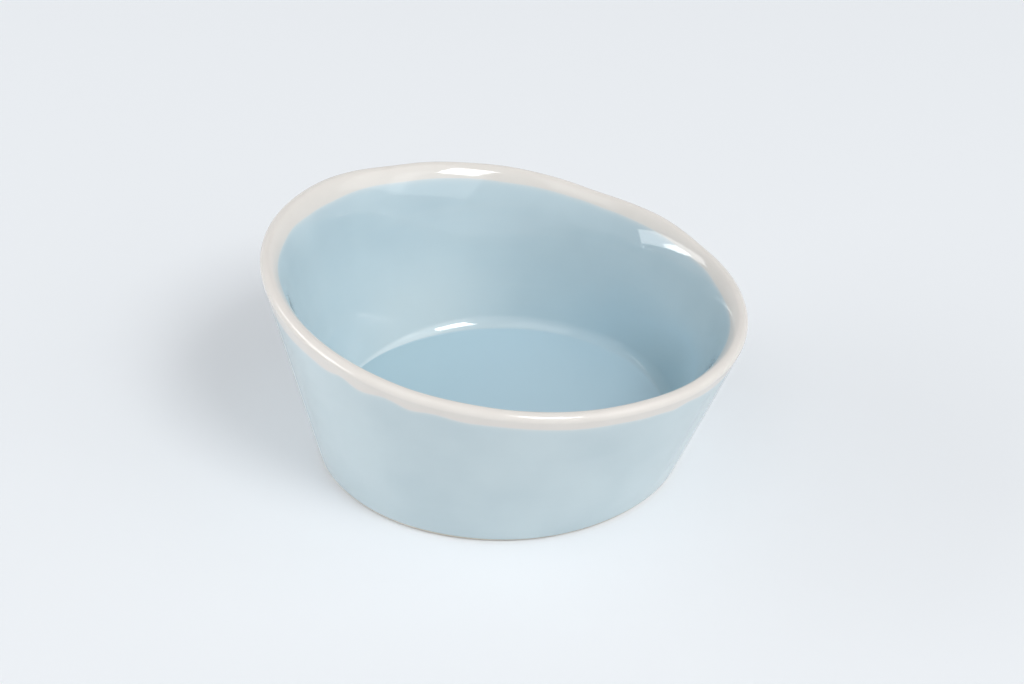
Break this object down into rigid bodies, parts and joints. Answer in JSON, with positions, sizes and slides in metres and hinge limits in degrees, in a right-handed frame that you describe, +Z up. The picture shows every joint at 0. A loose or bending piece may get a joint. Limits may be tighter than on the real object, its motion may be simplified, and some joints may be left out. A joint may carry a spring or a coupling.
{
  "type": "prep bowl",
  "caption": "Small hand-thrown porcelain prep bowl with a flaring wall, a slanted uneven rim, blue glaze inside and out, a clear-glazed lip and a bare foot ring.",
  "frame": {"origin": "centre of the foot ring, on the plane the bowl stands on", "axes": "+Z up, +X towards the low side of the slanted rim, -X towards its high side, +Y to complete a right-handed frame"},
  "size_m": [0.1288, 0.1311, 0.0598],
  "materials": {
    "porcelain": "matte",
    "blue_glaze": "gloss",
    "clear_glaze": "gloss"
  },
  "bodies": {
    "root": {"porcelain_body": "porcelain", "inner_glaze": "blue_glaze", "outer_glaze": "blue_glaze", "rim_glaze": "clear_glaze", "foot_glaze": "blue_glaze"}
  },
  "joints": []
}
